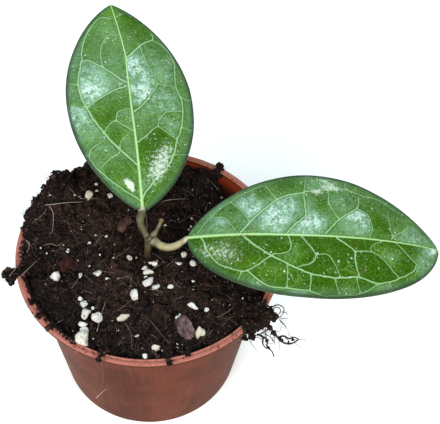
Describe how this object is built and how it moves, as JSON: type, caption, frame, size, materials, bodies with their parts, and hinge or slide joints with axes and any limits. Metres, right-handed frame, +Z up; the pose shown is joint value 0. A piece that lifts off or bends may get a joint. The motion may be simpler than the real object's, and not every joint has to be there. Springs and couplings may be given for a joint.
{
  "type": "potted hoya plant",
  "caption": "Young hoya cutting with two large netted oval leaves, standing in a round plastic nursery pot heaped with potting mix.",
  "frame": {"origin": "centre of the pot's underside, on the surface that the pot stands on", "axes": "+Z up the pot's axis; +X to the right, under the leaf that lies to the right; +Y away from the viewer, under the leaf that points back"},
  "size_m": [0.1703, 0.1524, 0.1213],
  "materials": {
    "pot_plastic": "moulded terracotta-coloured plastic, softly glossy, dusted with dry soil",
    "potting_mix": "moist dark peat and coir with white perlite grains; fabric stands for loose organic matter",
    "bark": "rough weathered bark",
    "stalk": "smooth living plant stem, slightly waxy; rubber stands for fleshy plant tissue",
    "leaf": "thick waxy leaf with a pale net of veins; rubber stands for fleshy plant tissue"
  },
  "bodies": {
    "root": {"pot": "pot_plastic", "soil": "potting_mix", "stem": "stalk", "leaf_back": "leaf", "leaf_right": "leaf", "bark_chip_front": "bark", "bark_chip_left": "bark", "bark_chip_back": "bark"}
  },
  "joints": []
}
